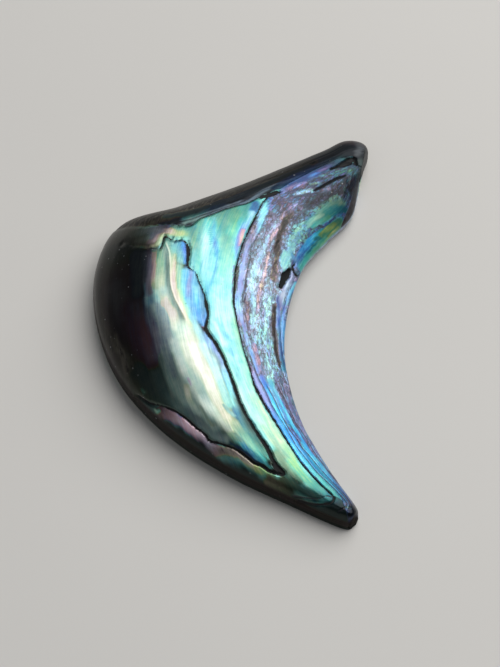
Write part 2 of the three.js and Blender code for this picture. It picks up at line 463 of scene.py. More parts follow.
MIDDLE_WASHES = [  # the broad field between the hook crack and the second line
    # painted shade: the heel's upper left, dark where it slopes away from the light
    ([(-18, 9.4), (-15.6, 9.4), (-12.6, 8.8), (-9.6, 8.2)], [3.6, 3.4, 3, 2.2], 5.4, [0.015, 0.016, 0.022,
     0.05], 0.4, 0.3),
    ([(9.6, -22.2), (10.8, -23.4), (12, -24.2), (12.8, -25)], 1.3, 2.7, [0.2, 0.12, 0.05, 0.02], 0),
    ([(-8.5, 9.2), (-4, 9.6), (2, 13.2)], 1.6, [4.6, 3.6, 3.3], [0.5, 0.42, 0.36], [0.3, 0.1, 0]),
    ([(-4.4, 9.8), (-4.2, 6.5), (-4, 3.6), (-2.6, 0), (-2.4, -3.6)], 1.1, [3.5, 3.2, 2.9, 2.9, 3.1],
     [0.42, 0.52, 0.72, 0.9, 1], [0.1, 0.2, 0.15, 0.15, 0.3]),
    ([(-3.1, 10.2), (-3.3, 7), (-3.2, 4), (-2.9, 2)], 0.5, [3.4, 3, 2.8, 2.8], [0.8, 1, 1, 0.95], [0.1,
     0.45, 0.35, 0.2]),
    ([(-1, 12.2), (-0.8, 9.6), (-0.9, 6.5), (-0.9, 2), (-0.9, -2), (-0.3, -6), (0.9, -10), (2, -13)],
     [0.9, 0.9, 1.1, 1.3, 1.4, 1.3, 1.2, 1.2], [3.4, 3.5, 3.3, 3.1, 3.3, 3.1, 3.3, 3.6], [0.26, 0.42, 0.8,
     1, 1, 0.98, 1, 1], [0.05, 0.15, 0.2, 0.25, 0.45, 0.25, 0.3, 0.35]),
    ([(-2.3, 10.8), (-2.2, 8.5), (-2, 6.5), (-2.1, 4), (-2.5, 2.2), (-3, 0.6)], 0.22, [2.7, 2.2, 1.9, 2,
     2.3, 2.6], [0.5, 0.68, 0.66, 0.66, 0.72, 0.8], 0.1),
    ([(-2.8, 9.6), (-2.6, 7.2)], 0.16, 2.6, 0.6, 0.1),
    ([(-1.8, -3), (-1.1, -4.2), (-0.4, -5.2), (-0.1, -6.8)], 0.32, 2.5, 0.92, 0.2),
    ([(-2.2, -3.2), (-1.5, -4.6), (-0.9, -6)], 0.2, 3.2, 1, 0.55),
    ([(0, 12.3), (0.2, 10.8), (0, 9.2)], 0.7, [3.8, 3.9, 3.6], [0.3, 0.42, 0.68], 0.05),
    ([(1.6, 13.2), (1.4, 11.8), (1, 10.4)], 0.5, [3.3, 3.2, 2.8], [0.24, 0.3, 0.5], 0),
    ([(2.7, 13.4), (2.4, 12.3)], 0.42, 1.4, [0.24, 0.3], 0),
    ([(2.3, 12.2), (1.8, 11), (1.2, 9.8), (0.65, 8.4), (0.25, 7), (0.1, 5.6)], 0.26, [2.4, 2.4, 1.4, 0.8,
     1.3, 2.3], [0.75, 0.95, 0.8, 0.62, 0.75, 0.85], [0.3, 0.3, 0.25, 0.25, 0.2, 0.2]),
    ([(1.15, 9.6), (0.85, 8.6), (0.55, 7.6)], 0.2, [7.1, 6.7, 7.2], [0.6, 0.72, 0.6], 0.3),
    ([(-0.05, 4.6), (-0.1, 2.8), (-0.1, 0.6)], 0.12, [8, 7.6, 8], 0.62, 0.3),
    ([(0.25, -2.4), (0.7, -5), (1.5, -8), (2.1, -10.4)], 0.4, [3.8, 3.6, 3.5, 3.7], [0.95, 0.9, 0.95, 1],
     0.25),
    ([(2.4, -12.2), (3.6, -14.2), (4.6, -15.8), (5.5, -17.4), (6.5, -19)], 0.75, [3.95, 4.05, 4.4, 4.5,
     4.3], [0.95, 0.95, 0.98, 0.92, 0.75], [0.35, 0.3, 0.35, 0.3, 0.15]),
    ([(2.9, -12.3), (3.6, -13.6), (4.4, -14.9)], 0.16, [4.7, 4.6, 4.5], 1, 0.4),
    ([(1, -11.6), (2.2, -13.8), (3.2, -15.4)], 0.55, [3.1, 3.3, 3.7], 1, 0.45),
    ([(3.4, -15.6), (4.6, -17.4), (5.6, -19)], 0.42, [3.9, 4.2, 4.2], [0.85, 0.6, 0.42], 0.35),
    ([(4.7, -18.6), (6, -20.4), (7.4, -21.8)], 0.5, [4.2, 4.3, 4], [0.36, 0.22, 0.1], 0.3),
    ([(6.6, -19.6), (8, -21.3), (9.3, -22.4), (10.4, -23.2)], 0.5, [4.4, 3.9, 3.4, 2.6], [0.75, 0.55,
     0.36, 0.22], 0),
    ([(5.6, -21.4), (7.4, -22.4), (9.4, -23.4)], 0.42, [4.2, 3.6, 3.2], [0.14, 0.08, 0.09], 0.2),
    ([(9.4, -24.6), (11, -24.8), (12.4, -24.8)], 0.8, 2.4, [0.02, 0.02, 0.014], 0.1),
    ([(6.6, -23.1), (9, -23.75), (10.4, -23.75)], 0.15, [4, 3.8, 2.8], [0.2, 0.3, 0.2], 0),
    ([(-9.6, 9), (-8, 9.3), (-6.4, 9.3), (-4.8, 9.1)], 0.45, [0.3, 0.4, 3.8, 2.8], [0.06, 0.18, 0.36,
     0.32], [0.5, 0.5, 0.2, 0.1]),
    ([(-8.1, 8.7), (-7.2, 8.55), (-6.4, 8.4), (-5.6, 8.2)], 0.36, [6.6, 6.2, 5.2, 4.4], [0.42, 0.62, 0.62,
     0.5], [0.5, 0.45, 0.25, 0.15]),
    ([(-5, 9), (-4.8, 7.6), (-4.6, 6.6)], 0.42, [3.3, 3.8, 3.7], [0.26, 0.34, 0.48], [0.1, 0.15, 0.25]),
    ([(-16.4, 9.6), (-15.2, 10.4), (-13.6, 10.4), (-12.2, 9.4), (-11, 8.4), (-10, 7.6)], [1.6, 1.4, 1.3,
     1.2, 1, 0.7], [5.6, 5.6, 5.4, 5.2, 5.2, 5.6], [0.012, 0.014, 0.018, 0.028, 0.04, 0.08], 0.5, 0.2),
    ([(-15.6, 9.4), (-13.6, 8.6), (-12, 7.6), (-11, 7.1), (-10, 6.75), (-9.2, 6.5)], 0.6, [5.4, 5.2, 5.2,
     5.2, 6, 6.6], [0.015, 0.016, 0.02, 0.03, 0.06, 0.12], 0.6, 0.2),
    ([(-11.8, 9.2), (-10.4, 9), (-9.4, 8.9), (-8.8, 8.5)], 0.7, [5, 4, 2, 0.6], [0.06, 0.11, 0.2, 0.3],
     0.7),
    ([(-10.9, 7.6), (-10.2, 7.6), (-9.5, 7.8)], 0.4, [5, 4, 1], [0.08, 0.13, 0.34], 0.7),
    ([(-9.8, 7.2), (-9.2, 7.25), (-8.8, 7.9)], 0.26, [7.2, 6.9, 7], [0.24, 0.62, 0.5], 0.5),
    ([(-9.4, 6.55), (-8.8, 6.6), (-8.6, 7.4), (-8.45, 8.1)], 0.22, [5.8, 5, 5, 5.6], [0.45, 0.8, 0.72,
     0.5], 0.4),
    # painted shade: the near outer wall from the heel to the lower horn, dark as in shadow over the shell's
    # dark edge layer
    ([(-12.9, -8.2), (-10.4, -11.6), (-7.35, -14.5), (-4, -17), (-0.4, -19.55), (3, -21.4), (6.6, -23.15),
     (9.6, -24.6), (12.4, -25.6)], 0.7, 3.4, [0.012, 0.01, 0.012, 0.02, 0.02, 0.02, 0.02], 0.3),
    ([(-10.6, -11.2), (-9, -12.4), (-7.6, -13.3), (-6, -14.4), (-4.6, -15.4), (-3.2, -16.6), (-2, -17.6),
     (-0.4, -18.3), (1, -19.1), (2.4, -20), (3.4, -20.4)], 0.36, [3.4, 3, 7, 7.4, 7.2, 7.3, 7.8, 6.6, 6.4,
     6, 5.4], [0.02, 0.05, 0.16, 0.62, 1, 0.95, 0.56, 0.24, 0.28, 0.42, 0.46], [0.3, 0.3, 0.3, 0.4, 0.35,
     0.35, 0.5, 0.5, 0.5, 0.5, 0.2], [0, 0.2, 0.3, 0, 0, 0, 0.1, 0.4, 0.3, 0.1, 0]),
    ([(-8.6, -12.9), (-8.2, -13.1)], 0.12, 3.6, 0.5, 0.3),
    ([(2.6, -20.2), (3.6, -20.6), (4.6, -21.1)], 0.26, [5.2, 4.6, 3.9], [0.5, 0.6, 0.5], 0.05),
    ([(4, -21.3), (5.4, -21.9), (6.6, -22.6)], 0.42, [5.8, 5.4, 4.6], [0.12, 0.08, 0.04], 0.3, 0.3),
]

UPPER_WASHES = [  # the upper layer: dark heel in painted shade, bright column, blue strip and white band of painted highlight
    # painted shade: the heel, dark where it faces away from the light
    ([(-13, 8), (-12.6, 2), (-12, -3), (-9.6, -8.6), (-5.4, -13), (-1, -16.8)], 4.6, [4, 7.2, 7.2, 5, 3.4,
     3.4], [0.012, 0.02, 0.012, 0.026, 0.1, 0.09], 0.4),
    ([(-8.3, 5.6), (-8.2, 2), (-7.5, -2), (-6.2, -6), (-4.2, -10.6), (-2, -14.2)], [0.9, 1, 1.2, 1.3, 1.2,
     1], 3.4, [0.4, 0.46, 0.5, 0.5, 0.42, 0.4], 0.55),
    ([(-13.6, 1.8), (-13, 0), (-12.2, -1.8)], 0.9, 7.6, 0.034, 0.7),
    ([(-12, -1.4), (-11.4, -3.4), (-10.2, -6), (-9.2, -8)], 0.9, 7.35, [0.03, 0.045, 0.05, 0.035], 0.05),
    ([(-10.6, -8.6), (-9, -10.4), (-7.2, -12)], 0.7, 3.4, [0.03, 0.045, 0.06], 0.5),
    ([(-11.2, 5.4), (-11.1, 3), (-10.9, 0.4)], 0.6, 2, 0.028, 0.6),
    ([(-15.6, 6), (-15.8, 0), (-14, -5)], 0.6, 6, [0.012, 0.014, 0.03], 0.3, 0.6),
    # painted reflection: an olive-brown strip along the heel's lower left edge
    ([(-13.4, -4.2), (-12.6, -6.2), (-11.8, -8)], 0.42, 6, [0.05, 0.1, 0.06], 0.5, 0.5),
    ([(-11, -1.4), (-10, -3.4), (-9.5, -5.4), (-8.8, -7.4)], 0.8, [7.6, 7.2, 7.3, 7.6], [0.04, 0.07, 0.09,
     0.1], [0.4, 0.1, 0.1, 0.3], 0.1),
    ([(-9.7, -0.6), (-9.2, -3.2), (-8.4, -5.4), (-8, -7)], 0.5, [2.4, 1.2, 0.5, 0.7], [0.09, 0.13, 0.22,
     0.2], [0.4, 0.5, 0.6, 0.6]),
    ([(-9, -0.6), (-8.3, -2.4), (-7.7, -4.4), (-7.2, -6.6)], 0.6, [2.6, 2.4, 2.2, 2.4], [0.34, 0.34, 0.24,
     0.26], [0.5, 0.6, 0.65, 0.65]),
    ([(-9.7, 1.2), (-9.4, 0), (-9.2, -1.2)], 0.4, [2.6, 2.6, 2.2], [0.16, 0.26, 0.28], 0.35),
    ([(-8.9, 0.8), (-8.7, 0), (-8.4, -1)], 0.3, [3.2, 3.2, 3], [0.55, 0.62, 0.6], 0.45),
    ([(-10.1, 5.4), (-10, 3.6), (-9.9, 1.8)], 0.4, [1.6, 1.4, 1.6], [0.05, 0.07, 0.07], 0.6),
    ([(-9.65, 5.6), (-9.5, 4.2), (-9.4, 2.6), (-9.4, 1.2), (-9.3, 0)], 0.34, [8, 8.2, 7.9, 7.8, 8.2],
     [0.08, 0.2, 0.25, 0.2, 0.16], [0.45, 0.45, 0.45, 0.55, 0.65]),
    ([(-9.1, 5.4), (-9, 3.6), (-9, 2), (-8.8, 0.6)], 0.24, [6.8, 6.9, 6.7, 4.4], [0.3, 0.42, 0.45, 0.4],
     0.45),
    ([(-8.45, 5.6), (-8.4, 4.2), (-8.3, 2.6), (-8.3, 1), (-8.1, -0.4)], 0.38, [4.1, 4.2, 4.6, 4.8, 4.6],
     [0.42, 0.5, 0.55, 0.62, 0.62], [0.15, 0.25, 0.45, 0.55, 0.65]),
    ([(-7.9, 0.2), (-7.7, -1.2), (-7, -2.6), (-6.4, -4.2)], 0.5, [3.2, 6.6, 6.8, 4.8], [0.6, 0.56, 0.62,
     0.8], [0.6, 0.8, 0.8, 0.8]),
    ([(-7.75, 6.6), (-7.3, 7.2), (-6.9, 6.4), (-7, 5)], 0.34, [3.5, 3.2, 2.9, 3.4], [0.4, 0.55, 0.52,
     0.55], [0.15, 0.25, 0.2, 0.4]),
    ([(-6.4, 7), (-6.2, 5.6), (-6.1, 4.4)], 0.42, [2.2, 2.1, 3], [0.44, 0.48, 0.54], [0.15, 0.15, 0.3]),
    ([(-5.8, 6.8), (-5.65, 5.4), (-5.65, 4.2)], 0.18, [1.5, 1.3, 1.7], [0.8, 0.9, 0.8], 0.05),
    ([(-6.9, 5), (-6.85, 3.6), (-6.8, 2), (-6.6, 0.8), (-6.2, -0.4), (-5.6, -1.8)], 0.26, [4.6, 6.4, 6.7,
     6.5, 6, 5.4], [0.5, 0.6, 0.62, 0.66, 0.72, 0.85], [0.5, 0.6, 0.6, 0.6, 0.65, 0.7]),
    ([(-6.2, 3.6), (-6.2, 2), (-6, 0.6), (-5.7, -0.8), (-5.2, -2.2), (-4.7, -3.4)], 0.32, [4, 4.2, 4, 4.2,
     4.2, 3.6], [0.65, 0.72, 0.8, 0.85, 0.9, 0.9], [0.35, 0.3, 0.3, 0.3, 0.35, 0.35]),
    ([(-5.7, 3), (-5.6, 1.4), (-5.4, 0), (-5, -1.6)], 0.26, [2.6, 2.5, 2.5, 2.4], 0.85, 0.15),
    ([(-5, 3), (-4.8, 1.2), (-4.5, -0.8), (-4.2, -2.6)], [0.6, 0.8, 0.8, 0.7], [2, 2.1, 2.1, 2], 0.82,
     0.15),
    ([(-5.1, 3.2), (-4.95, 2.4), (-5.1, 1), (-5.2, -0.4)], 0.2, [1.6, 1.2, 1.1, 1.7], [0.72, 0.7, 0.7,
     0.76], [0.2, 0.3, 0.3, 0.2]),
    ([(-4.1, -0.8), (-4.2, -1.8), (-3.9, -2.8), (-3.5, -3.4)], 0.3, [2, 1.6, 1.4, 1.3], [0.8, 0.74, 0.74,
     0.74], 0.1),
    ([(-3.5, 0.2), (-3.35, -1.2), (-3.3, -2.6), (-3.35, -3.8)], 0.12, [2.2, 1.7, 1.5, 1.5], [0.82, 0.76,
     0.74, 0.75], 0.1),
    ([(-4.8, -3.2), (-4.2, -4.2), (-3.6, -5.2), (-2.9, -6.3)], 0.42, [2.6, 2.3, 2, 2], [0.92, 0.9, 0.85,
     0.88], [0.3, 0.35, 0.35, 0.35]),
    # painted highlight: the cream-white band down the dome, where it faces the light
    ([(-5.4, -4.4), (-4.6, -6.4), (-3.6, -8.4), (-2.6, -10.4), (-1.8, -12.2), (-1, -13.8), (-0.3, -15.2),
     (0, -16)], [0.9, 1.1, 1, 0.9, 0.85, 0.8, 0.6, 0.4], [4.2, 5.2, 5.8, 5.9, 5.6, 5.6, 5.8, 5.4], [0.88,
     0.92, 0.92, 0.9, 0.84, 0.78, 0.8, 0.86], [0.7, 0.82, 0.88, 0.86, 0.78, 0.7, 0.6, 0.5]),
    ([(-2.9, -4.8), (-2.3, -6.2), (-1.7, -7.4), (-1.2, -8.6), (-0.7, -10)], 0.26, [1.5, 1.3, 1.6, 2, 2.3],
     [0.85, 0.8, 0.88, 0.92, 0.95], [0.2, 0.25, 0.3, 0.35, 0.4]),
    ([(-3.2, -6.2), (-2.4, -8), (-1.7, -9.8), (-1, -11.6), (-0.3, -13.2)], 0.42, [2.8, 2.7, 2.9, 3.2,
     3.5], [0.95, 0.98, 0.98, 0.9, 0.85], [0.6, 0.55, 0.55, 0.45, 0.3]),
    ([(-1, -9.2), (-0.7, -10), (-0.3, -11), (0.2, -12.6), (0.6, -14.2)], 0.28, [2.3, 2.5, 2.9, 3, 2.7],
     [0.95, 0.95, 0.9, 0.8, 0.6], 0.25),
    ([(0.4, -13.8), (0.9, -15), (1.5, -16.2), (2.5, -17.4), (3.4, -18.5)], 0.44, [2.3, 2.5, 3, 3.3, 3.8],
     [0.36, 0.24, 0.26, 0.22, 0.2], 0.15),
    ([(-1, -13.2), (-0.4, -14), (0.2, -14.6)], 0.16, 3.2, [0.4, 0.5, 0.55], 0.4),
    ([(0.2, -15.6), (0.7, -16.3), (1.6, -17.2), (2.6, -18.2), (3.6, -19.3)], 0.42, [4.8, 4.1, 3.9, 3.6,
     3.4], [0.6, 0.52, 0.7, 0.8, 0.75], [0.45, 0.3, 0.2, 0.1, 0.05]),
    ([(0.5, -17.3), (1.4, -18.1), (2.4, -18.9), (3.6, -19.8), (4.3, -20.3)], 0.3, [2.8, 2.4, 2.2, 2.6, 3],
     [0.5, 0.5, 0.5, 0.5, 0.35], 0.05),
    ([(-0.4, -16.6), (0.3, -17.1), (0.9, -17.4)], 0.3, [4.2, 3.8, 3.4], [0.4, 0.36, 0.3], 0.3),
    ([(-0.6, -17.5), (0.8, -18.2), (2, -19.1), (3.2, -19.8)], 0.14, [1.6, 1.2, 1.4, 1.8], [0.04, 0.07,
     0.08, 0.06], 0),
    ([(-6.6, -6.2), (-6, -8.4), (-5.2, -10.4), (-4, -12.4), (-2.8, -14.2)], 0.5, [3.2, 3.4, 3.6, 3.6,
     3.4], [0.5, 0.55, 0.5, 0.46, 0.36], 0.75),
    ([(-7.6, -8), (-6.6, -10.4), (-5.2, -12.6), (-3.6, -14.6), (-2.2, -16)], 0.7, [3.2, 3.4, 3.5, 3.4,
     3.4], [0.16, 0.26, 0.32, 0.36, 0.34], 0.6),
    ([(-3.4, -12.6), (-2.4, -13.8), (-1.4, -15), (-0.6, -16)], 0.42, [3.4, 4, 4.6, 4], [0.62, 0.8, 0.66,
     0.4], 0.75),
    ([(-5.2, -13.8), (-3.6, -15.2), (-2.2, -16.4), (-0.8, -17.2)], 0.4, [2.8, 2.6, 2.8, 3], [0.18, 0.15,
     0.16, 0.24], 0.6),
    ([(-8.6, -9.4), (-7.4, -11.6), (-5.8, -13.6), (-4.4, -15)], 0.4, 3.2, [0.05, 0.07, 0.15, 0.12], 0.5),
    ([(-7.6, -7), (-7.2, -8.4), (-6.6, -9.8)], 0.36, 2.4, [0.22, 0.2, 0.2], 0.6),
    ([(-5.2, -11.2), (-4.8, -12.6), (-4.2, -13.6), (-3.8, -14.3)], 0.24, [5.4, 5.4, 4.4, 3.6], [0.42,
     0.55, 0.52, 0.4], 0.7),
    ([(-3.6, -13.6), (-2.8, -14.8), (-2, -15.6)], 0.2, [3.6, 3.8, 4.4], 0.26, 0.6),
    ([(-5, -10.4), (-4.7, -11)], 0.2, 7.8, 0.45, 0.6),
    ([(-10, -10.6), (-9.7, -11)], 0.14, 4, 0.14, 0.2),
]

INNER_WASHES = [  # the inner side: upper horn, speckled layer and the lower horn's stripes
    ([(8, 14), (5, 9), (3.6, 4), (3.4, -1), (4.4, -6), (6, -10)], 2.8, [9, 9.2, 9.6, 9.6, 9.8, 9], [0.4,
     0.66, 0.92, 0.9, 0.8, 0.66], [0.25, 0.35, 0.45, 0.45, 0.4, 0.3], [0.62, 0.5, 0.42, 0.42, 0.42, 0.4]),
    ([(5.2, 11.4), (4.2, 9.4), (3.2, 7.4), (2.8, 5.6), (2.2, 3.2), (2.3, 0.6), (2.2, -2.6)], 0.42, [9.6,
     9.9, 10, 10.1, 10, 10.2, 10.4], [0.66, 0.85, 1, 1.15, 1.1, 0.95, 0.8], 0.4, 0.2),
    ([(5.9, 12.6), (5.2, 11), (4.3, 9.2), (4, 7), (3.6, 4.4), (3.1, 2), (2.9, -0.6)], 0.26, [8.2, 7.9,
     7.5, 7.3, 7.2, 7.2, 7.8], [0.55, 0.6, 0.68, 0.78, 0.78, 0.75, 0.66], 0.4, 0.3),
    ([(4.2, 2.4), (3.9, 0.8), (3.9, -0.8), (3.6, -2.6), (3, -4.6)], 0.4, [10.2, 10.4, 10.6, 10.7, 10.8],
     [0.85, 1.05, 1.05, 1, 0.9], 0.35, 0.25),
    ([(1.6, 0.2), (1.7, -1.4), (1.8, -3)], 0.32, [7.2, 8.2, 8.4], [0.5, 0.5, 0.46], 0.3, 0.45),
    ([(4.2, -3.6), (4.4, -5.4), (4.4, -7.4), (4.4, -9)], 0.5, [10.4, 10.2, 10.6, 10.6], [0.85, 0.8, 0.9,
     0.95], 0.35, 0.3),
    ([(2.5, -5), (2.8, -6.4), (3.2, -8), (3.6, -9.2)], 0.28, [7.8, 7.9, 8.2, 8.6], [0.7, 0.75, 0.62, 0.5],
     0.3, 0.2),
    ([(4.4, 14.4), (3.9, 13.4), (3.5, 12.2), (3.2, 11), (2.8, 9.8)], 0.34, [2.9, 2.9, 2.8, 2.5, 2], [0.4,
     0.7, 0.9, 0.8, 0.5], [0.05, 0.1, 0.25, 0.25, 0.2]),
    ([(5.2, 14.4), (4.9, 13.6), (4.6, 12.8)], 0.26, [3, 3.2, 2.6], [0.35, 0.5, 0.42], 0.1, 0.15),
    ([(2.5, 10.4), (2.1, 9), (1.7, 7.6), (1.5, 6.6)], 0.24, [0.6, 0.4, 0.7, 0.9], [0.32, 0.42, 0.5, 0.7],
     [0.5, 0.4, 0.3, 0.2], [0.3, 0.2, 0.1, 0]),
    ([(1.5, 6.6), (1.2, 5), (1, 3.4), (0.85, 1.8), (0.6, 0.4), (0.85, -1.4), (1.25, -3.2), (1.7, -5)],
     0.26, [0.9, 0.85, 0.8, 0.9, 2, 0.9, 0.7, 1.6], [0.8, 0.85, 0.85, 0.85, 0.95, 0.8, 0.8, 0.85], 0.25),
    ([(0.55, 4.8), (0.45, 2.8), (0.4, 1.2)], 0.13, 4, 0.5, 0.3, 0.95),
    ([(2, -5.6), (2.4, -7), (2.8, -8.4)], 0.2, [1.4, 1.2, 0.9], 0.8, 0.15),
    ([(2.5, -8.8), (3.2, -10.6), (4, -12.2), (4.9, -13.8), (5.8, -15.4), (6.7, -17), (7.6, -18.6),
     (8.8, -20.2), (10, -21.6), (11, -22.6), (11.6, -23.5)], 0.32, [0.6, 0.7, 0.8, 1.4, 1.7, 1.7, 1.8,
     2.4, 2.9, 3.1, 3], [0.75, 0.8, 0.9, 1.1, 1.2, 1.2, 1.1, 0.9, 0.66, 0.42, 0.22], [0.25, 0.2, 0.2,
     0.05, 0, 0, 0, 0, 0, 0, 0]),
    ([(3.4, -9), (4.4, -11.2), (5.4, -13.4), (6.4, -15.4), (7.4, -17.2), (8.6, -18.9), (9.8, -20.3),
     (11, -21.6), (12, -22.8), (12.4, -23.8)], 0.28, [1, 1.9, 2.1, 2, 1.6, 1.9, 2.4, 2.4, 1.9, 1.8], [0.9,
     1.1, 1.2, 1.2, 1.15, 1, 0.85, 0.64, 0.4, 0.2], 0),
    ([(4.3, -9.2), (5.3, -11.4), (6.2, -13.4), (7.3, -15.2), (8.2, -17), (9.4, -18.8), (10.8, -20.6),
     (12.2, -22.2), (13, -23.4)], 0.32, [2.6, 2.3, 2.2, 2.1, 1.9, 2.1, 2, 1.4, 1], [0.9, 1.1, 1.2, 1.15,
     1.1, 1, 0.8, 0.5, 0.25], [0.15, 0.1, 0.05, 0, 0, 0, 0, 0, 0]),
    ([(6.4, -10.8), (7.2, -13), (8.2, -15.2), (9.3, -17.2), (10.6, -19)], 0.4, [1, 0.8, 0.9, 1.1, 1.5],
     [0.5, 0.55, 0.6, 0.62, 0.6], 0.25, 0.2),
    ([(12.4, -21.4), (13.1, -22.8), (13.5, -23.8), (13.2, -24.8)], 0.36, [1.3, 1, 0.8, 0.8], [0.5, 0.3,
     0.1, 0.03], 0.1),
    ([(13.9, -23), (13.8, -24.2), (13.2, -25.2), (11.6, -25.4), (10, -25)], 0.42, 1.4, [0.02, 0.012,
     0.012, 0.012, 0.012], 0.3),
    ([(13, -24.5), (11.6, -24.6), (10, -24.4), (8.6, -24)], 0.2, [2.6, 3.4, 3.6, 3.6], [0.05, 0.16, 0.2,
     0.1], 0),
    ([(11.5, -23.6), (11, -24.2), (9.8, -24.2)], 0.16, [3.2, 3.6, 3.8], [0.22, 0.26, 0.2], 0),
    ([(5.2, 2.2), (5.3, 0), (5.3, -2), (5.45, -4.4), (5.7, -7)], 0.3, [0.9, 1.2, 1.5, 1.2, 2.2], [0.4,
     0.6, 0.55, 0.42, 0.4], 0.1),
    ([(7.4, 5), (6.8, 3.4), (6.3, 1.6), (5.95, -0.4), (5.8, -2.4), (5.85, -4.4)], 0.2, [2.4, 1.9, 1.2,
     1.7, 1.9, 1.5], [0.85, 0.8, 0.6, 0.85, 0.8, 0.55], 0.1),
    ([(7.3, 6.6), (6.9, 5.4), (6.4, 4.2), (5.9, 2.8), (5.7, 1.6)], 0.26, [0.9, 0.8, 1.2, 1, 0.8], [0.5,
     0.6, 0.75, 0.72, 0.55], [0.3, 0.4, 0.5, 0.5, 0.3]),
    ([(6.9, 13), (6.3, 11.8), (5.8, 10.6), (5.4, 9.4), (5.3, 8.2), (5, 6.4), (4.8, 4.4)], [0.3, 0.4, 0.36,
     0.3, 0.3, 0.3, 0.3], 6.4, [0.42, 0.36, 0.4, 0.42, 0.5, 0.5, 0.5], 0.3, [0.9, 1, 1, 1, 0.85, 0.75,
     0.65]),
    ([(4.65, 1.2), (4.6, -1), (4.7, -3), (5, -5), (5.3, -6.6)], 0.2, 6.6, [0.4, 0.4, 0.35, 0.4, 0.42],
     0.3, 1),
    ([(1.55, 3.2), (1.35, 1.8), (1.2, 0.4)], 0.14, 0.2, 0.12, 0.1, 0.5),
    # the upper horn: dull speckle, then greens to the inner edge
    ([(6, 14.6), (8, 15.8), (10, 17.2), (12, 18.6), (14.2, 20)], 1.9, [8.8, 9, 9.2, 9.8, 10.2], [0.36,
     0.28, 0.24, 0.2, 0.16], 0.15, [0.5, 0.52, 0.5, 0.48, 0.46]),
    ([(9.4, 14.4), (11.2, 15.6), (12.8, 16.8), (14.6, 18.4)], 0.9, [9.2, 9.4, 9.4, 9.2], [0.2, 0.12, 0.09,
     0.07], 0.25, [0.6, 0.6, 0.55, 0.5]),
    ([(7.6, 15.5), (8.5, 15.9), (9.4, 16.2)], 0.24, [9.6, 10.6, 10.9], [0.7, 1, 0.85], 0.3, 0.3),
    ([(9.2, 17.1), (10.2, 17.4)], 0.16, [10.6, 10.9], 0.42, 0.3, 0.3),
    ([(12.4, 18.9), (13.4, 19.5), (14.6, 19.9), (15, 20.3)], 0.26, [11.2, 11, 11, 11.2], [0.16, 0.18,
     0.16, 0.1], 0.1, 0.3),
    ([(10.8, 16.4), (11.6, 17)], 0.26, 9, 0.26, 0.3, 0.3),
    ([(6.5, 12.8), (7, 13.6), (7.8, 14.4)], 0.24, [8.2, 8, 8.8], [0.5, 0.6, 0.4], 0.2, 0.4),
    ([(6.1, 6.8), (6.6, 8.2), (7.3, 9.8), (8.4, 11.4), (9.8, 13), (11.4, 14.4), (13, 15.7)], [0.5, 0.65,
     0.8, 0.9, 0.8, 0.75, 0.65], [10.8, 10.9, 11, 11, 11.2, 11.6, 11.9], [0.95, 0.9, 0.8, 0.66, 0.46, 0.3,
     0.2], [0.3, 0.3, 0.25, 0.25, 0.2, 0.15, 0.35], [0.1, 0.1, 0.2, 0.25, 0.2, 0.1, 0.1]),
    ([(8.3, 7), (9, 8.4), (9.9, 9.8), (11, 11.2), (12.2, 12.6), (12.9, 13.4)], 0.6, [11.2, 11.3, 11.4,
     11.8, 12.1, 12.1], [0.55, 0.56, 0.55, 0.5, 0.4, 0.26], 0),
    ([(10.6, 13), (11.6, 14), (12.6, 14.7), (13.6, 15)], 0.45, [11.4, 11.2, 10.6, 10.4], [0.36, 0.34,
     0.24, 0.16], 0),
    ([(7.3, 6.9), (7.8, 8), (8.5, 9.2), (9.3, 10.3), (10.1, 11.2), (10.8, 12)], 0.24, [9.2, 9.4, 9.5, 9.9,
     10.2, 10.6], [0.5, 0.66, 0.74, 0.85, 0.85, 0.5], 0),
    ([(8.7, 8.6), (9.3, 9.7), (10, 10.7), (10.8, 11.6), (11.7, 12.6)], 0.06, [10.4, 10.4, 10.6, 11.2, 12],
     0.3, 0),
    ([(9.6, 11.9), (10.5, 12.8), (11.6, 13.7)], 0.2, [11.3, 11.5, 11.9], [0.66, 0.62, 0.4], 0.05),
    ([(9, 12), (9.8, 12.9), (10.7, 13.6)], 0.22, [11.2, 11.7, 11.8], [0.6, 0.72, 0.5], 0.3),
    ([(10.5, 11.4), (11.3, 12.3), (12.3, 13.2)], 0.12, [12.6, 13.1, 12.9], [0.4, 0.55, 0.34], 0.05),
    ([(11.2, 11.7), (11.9, 12.4), (12.6, 13)], 0.1, [12.7, 13.2, 12.8], [0.3, 0.5, 0.34], 0.05),
    ([(8.4, 7.6), (8.9, 8.6), (9.5, 9.3), (10.2, 10.2)], 0.16, [11.2, 11.5, 11.7, 11.8], [0.66, 0.6, 0.5,
     0.42], 0),
    ([(6, 5.9), (5.7, 7), (6, 8)], 0.2, [10.8, 10.9, 11], 0.95, 0.3),
    ([(7, 8.4), (7.4, 7.6), (7.3, 6.9)], 0.2, [10.2, 9.4, 9], [0.7, 0.62, 0.4], 0.15),
    ([(8, 5.9), (7.6, 5), (7.2, 3.8)], 0.14, [10, 10, 9.6], 0.75, 0.05),
]

